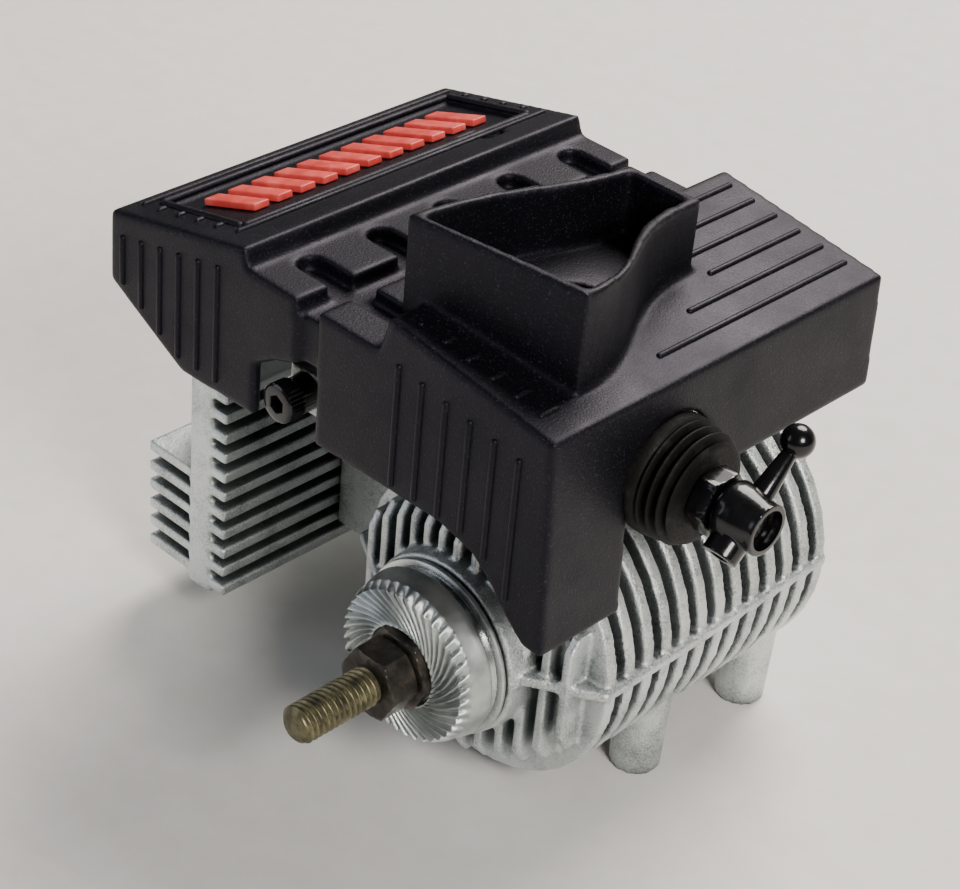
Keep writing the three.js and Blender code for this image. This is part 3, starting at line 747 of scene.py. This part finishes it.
bellows = turned("throttleBellows", bellowsProfile(low.x, high.x), "x", carbY, carbZ, 96)
handOver(bellows, None, finish["rubber"], ["throttle_bellows"], 80)
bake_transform(bellows)

# ball link on the end of the throttle slide
linkShape = {
    "voxelMm": 0.15, "rounds": 5, "keep": 0.4, "tiltDegrees": 42, "centreX": 38.8, "ballMm": 2.4,
    "reachMm": 12.3, "stubMm": 6.2, "stubRadius": 2.6, "endHole": 2.9, "bore": 2.2, "socket": 2.1,
    "pinchHole": 1.3,
}
tilt = Matrix.Rotation(radians(linkShape["tiltDegrees"]), 4, "X")
linkPlace = Matrix.Translation((linkShape["centreX"], carbY, carbZ)) @ tilt


def tiltedRound(name, low, high, radius):
    part = turned(name, [(0, low), (radius, low), (radius, high), (0, high)], "y", 0, 0, 64)
    part.data.transform(linkPlace)
    return part


def linkBody():
    outside = [(0, 35.8), (4.0, 35.8), (4.5, 36.6), (4.55, 37.6), (4.45, 38.8), (4.1, 40.4)]
    outside += [(3.8, 41.6), (3.8, 42.6), (0, 42.6)]
    shoulder = turned("shoulder", outside, "x", carbY, carbZ, 96)
    stub = tiltedRound("stub", -linkShape["stubMm"], 0, linkShape["stubRadius"])
    body = fused("ballLinkBody", [shoulder, stub], linkShape["voxelMm"], linkShape["rounds"])
    thinned(body, linkShape["keep"])
    bore, endHole = linkShape["bore"], linkShape["endHole"]
    through = [(0, 30), (bore, 30), (bore, 41), (endHole, 41.1), (endHole, 42.3)]
    through += [(endHole + 0.5, 45), (0, 45)]
    holes = [
        turned("hole", through, "x", carbY, carbZ, 64),
        tiltedRound("hole", 2.2, 6, linkShape["socket"]),
        tiltedRound("hole", -8, -4.4, linkShape["pinchHole"]),
    ]
    return combined(body, holes, "DIFFERENCE")


handOver(linkBody(), "throttle", finish["oxide"], ["link_body"], 35)
ballRadius, reach = linkShape["ballMm"], linkShape["reachMm"]
ballProfile = [(0, 2.5), (1.8, 2.5), (1.8, 3.2), (1.1, 10.0), (1.05, 10.15)]
for i in range(22):
    angle = 0.5 + i * (pi - 0.5) / 22
    ballProfile.append((ballRadius * sin(angle), reach - ballRadius * cos(angle)))
ballProfile.append((0, reach + ballRadius))
ballStud = turned("ballStud", ballProfile, "y", 0, 0, 64)
ballStud.data.transform(linkPlace)
handOver(ballStud, "throttle", finish["oxide"], ["ball_stud"], 50)
print("throttle linkage ready")

# cover screw: knurled cap head with a hexagon socket
screwShape = {"knurls": 28, "knurlMm": 0.22, "socketAcross": 2.5, "socketDepth": 1.9}
low, high = local("cover_screw")
screwX, screwZ = (low.x + high.x) / 2, (low.z + high.z) / 2
headRadius, screwFront = (high.x - low.x) / 2, low.y


def coverScrewProfile():
    # points 1 to 3 are the socket's wall and points 7 to 11 the knurled band
    f, r = screwFront, headRadius
    flat = screwShape["socketAcross"] / 2
    bottom = f + screwShape["socketDepth"]
    points = [(0, bottom + 0.5), (flat, bottom), (flat, f + 0.1)]
    points += [(flat + 0.12, f), (r - 0.55, f), (r - 0.3, f + 0.08), (r - 0.08, f + 0.3), (r, f + 0.6)]
    points += [(r, f + 1.2), (r, f + 1.8), (r, f + 2.4), (r, f + 2.9), (r - 0.2, f + 3.1)]
    points += [(r - 0.2, high.y), (0, high.y)]
    return points


def knurled(angle, i, radius, position):
    if 1 <= i <= 3:
        away = (angle + pi / 6) % (pi / 3) - pi / 6
        return radius / cos(away), position
    if 7 <= i <= 11:
        phase = (angle * screwShape["knurls"] / (2 * pi)) % 1
        return radius - screwShape["knurlMm"] * abs(2 * phase - 1), position
    return radius, position


coverScrew = turned("coverScrew", coverScrewProfile(), "y", screwX, screwZ, 224, knurled)
handOver(coverScrew, "engine_body", finish["oxide"], ["cover_screw"], 30)
print("cover screw ready")

# turned and plain parts: the CAD shape with its edges broken
# each has its name, body, finish, slot and edge in mm
plainParts = {
    "front_bearing": ("frontBearing", "engine_body", "steel", "steel", 0.2),
    "rear_bearing": ("rearBearing", "engine_body", "steel", "steel", 0.2),
    "crankshaft": ("crankshaftForging", "crank", "steel", "steel", 0.15),
    "backplate": ("backplateCasting", "engine_body", "cast", "cast_aluminium", 0.5),
    "cylinder_liner": ("cylinderLiner", "engine_body", "brass", "brass", 0.15),
    "piston": ("pistonTurning", "piston", "turned", "machined_aluminium", 0.15),
    "wrist_pin": ("wristPin", "piston", "steel", "steel", 0.15),
    "connecting_rod": ("connectingRod", "rod", "bronze", "bronze", 0.2),
    "combustion_insert": ("combustionInsert", "engine_body", "turned", "machined_aluminium", 0.15),
    "head_gasket": ("headGasket", "engine_body", "copper", "copper_gasket", 0.05),
    "glow_plug": ("glowPlug", "engine_body", "steel", "steel", 0.15),
    "carburettor_body": ("carburettorBody", "engine_body", "carb", "machined_aluminium", 0.2),
    "throttle_slide": ("throttleSlide", "throttle", "steel", "steel", 0.15),
    "needle_valve": ("needleValve", "needle", "brass", "brass", 0.15),
    "fuel_nipple": ("fuelNipple", "engine_body", "brass", "brass", 0.12),
    "pinch_screw": ("pinchScrew", "throttle", "steel", "steel", 0.12),
}
for i in range(1, 5):
    plainParts[f"backplate_screw_{i}"] = (f"backplateScrew{i}", "engine_body", "oxide", "black_oxide", 0.2)
    plainParts[f"head_screw_{i}"] = (f"headScrew{i}", "engine_body", "oxide", "black_oxide", 0.2)
for node, (name, body, look, slot, edge) in plainParts.items():
    handOver(bevelled(cadCopy(node, name), edge), body, finish[look], [node], 35)
print("turned parts ready")

# a paper floor that curves up behind the engine
stageLook = {
    "colours": ("#d5d3cf", "#dcdad6"), "roughness": 0.7, "speckMm": 6, "floorSize": 3.0,
    "curveMm": 400, "wallMm": 1500, "worldColour": "#c9ccd0", "worldStrength": 0.14,
}
floorMaterial, tree, shader, where = newMaterial("palePaperFloor")
speckScale = noiseScale(stageLook["speckMm"])
speck = addNode(tree, "ShaderNodeTexNoise", {"Scale": speckScale, "Detail": 3, "Roughness": 0.6},
                {"Vector": where})
low, high = stageLook["colours"]
paper = addNode(tree, "ShaderNodeValToRGB", {"stops": [(0.3, low), (0.7, high)]},
                {"Fac": speck.outputs["Fac"]})
tree.links.new(paper.outputs["Color"], shader.inputs["Base Color"])
shader.inputs["Roughness"].default_value = stageLook["roughness"]
size, bend = stageLook["floorSize"] / 2 / mm, stageLook["curveMm"]
curve = [(-size, 0), (size * 0.6, 0)]
for i in range(1, 13):
    angle = pi / 2 * i / 12
    curve.append((size * 0.6 + bend * sin(angle), bend - bend * cos(angle)))
curve.append((size * 0.6 + bend, stageLook["wallMm"]))
verts = []
for y, z in curve:
    verts += [(-size, y, z), (size, y, z)]
faces = [[2 * i, 2 * i + 1, 2 * i + 3, 2 * i + 2] for i in range(len(curve) - 1)]
floor = addObject("floorSweep", verts, faces)
floor.data.transform(Matrix.Scale(mm, 4))
floor.data.materials.append(floorMaterial)
for polygon in floor.data.polygons:
    polygon.use_smooth = True

cameraSetup = {
    "placeMm": (195.2, -221.3, 245.1), "azimuth": 41.47, "elevation": 33.71, "roll": -5.34, "lensMm": 90.79,
}
azimuth, elevation, roll = (radians(cameraSetup[k]) for k in ("azimuth", "elevation", "roll"))
back = Vector((sin(azimuth) * cos(elevation), -cos(azimuth) * cos(elevation), sin(elevation)))
right = (-back).cross(Vector((0, 0, 1))).normalized()
down = (-back).cross(right)
turnedRight = cos(roll) * right + sin(roll) * down
turnedDown = -sin(roll) * right + cos(roll) * down
camera = bpy.data.objects.new("camera", bpy.data.cameras.new("camera"))
bpy.context.scene.collection.objects.link(camera)
axes = Matrix((turnedRight, -turnedDown, back)).transposed().to_4x4()
camera.matrix_world = Matrix.Translation(Vector(cameraSetup["placeMm"]) * mm) @ axes
camera.data.lens = cameraSetup["lensMm"]
camera.data.sensor_width = 36
camera.data.clip_start = 0.01
bpy.context.scene.camera = camera

lights = {
    "overheadSoftbox": {"place": (-0.15, 0.55, 0.75), "aim": (0, 0, 0.05), "size": 0.6, "watts": 15,
                        "colour": "#fff8f0"},
    "keySoftbox": {"place": (0.75, -0.25, 0.6), "aim": (0, 0, 0.03), "size": 0.35, "watts": 10,
                   "colour": "#fffaf4"},
    "fillSoftbox": {"place": (-0.5, -0.6, 0.35), "aim": (0, 0, 0.03), "size": 0.6, "watts": 1.6,
                    "colour": "#eef3ff"},
}
for name, light in lights.items():
    lamp = bpy.data.objects.new(name, bpy.data.lights.new(name, "AREA"))
    bpy.context.scene.collection.objects.link(lamp)
    lamp.data.shape = "DISK"
    lamp.data.size = light["size"]
    lamp.data.energy = light["watts"]
    lamp.data.color = toLinear(light["colour"])[:3]
    place = Vector(light["place"])
    aim = (Vector(light["aim"]) - place).to_track_quat("-Z", "Y")
    lamp.matrix_world = Matrix.Translation(place) @ aim.to_matrix().to_4x4()
world = bpy.data.worlds.new("studio")
world.use_nodes = True
backdrop = world.node_tree.nodes["Background"]
backdrop.inputs["Color"].default_value = toLinear(stageLook["worldColour"])
backdrop.inputs["Strength"].default_value = stageLook["worldStrength"]
bpy.context.scene.world = world
print("stage ready")
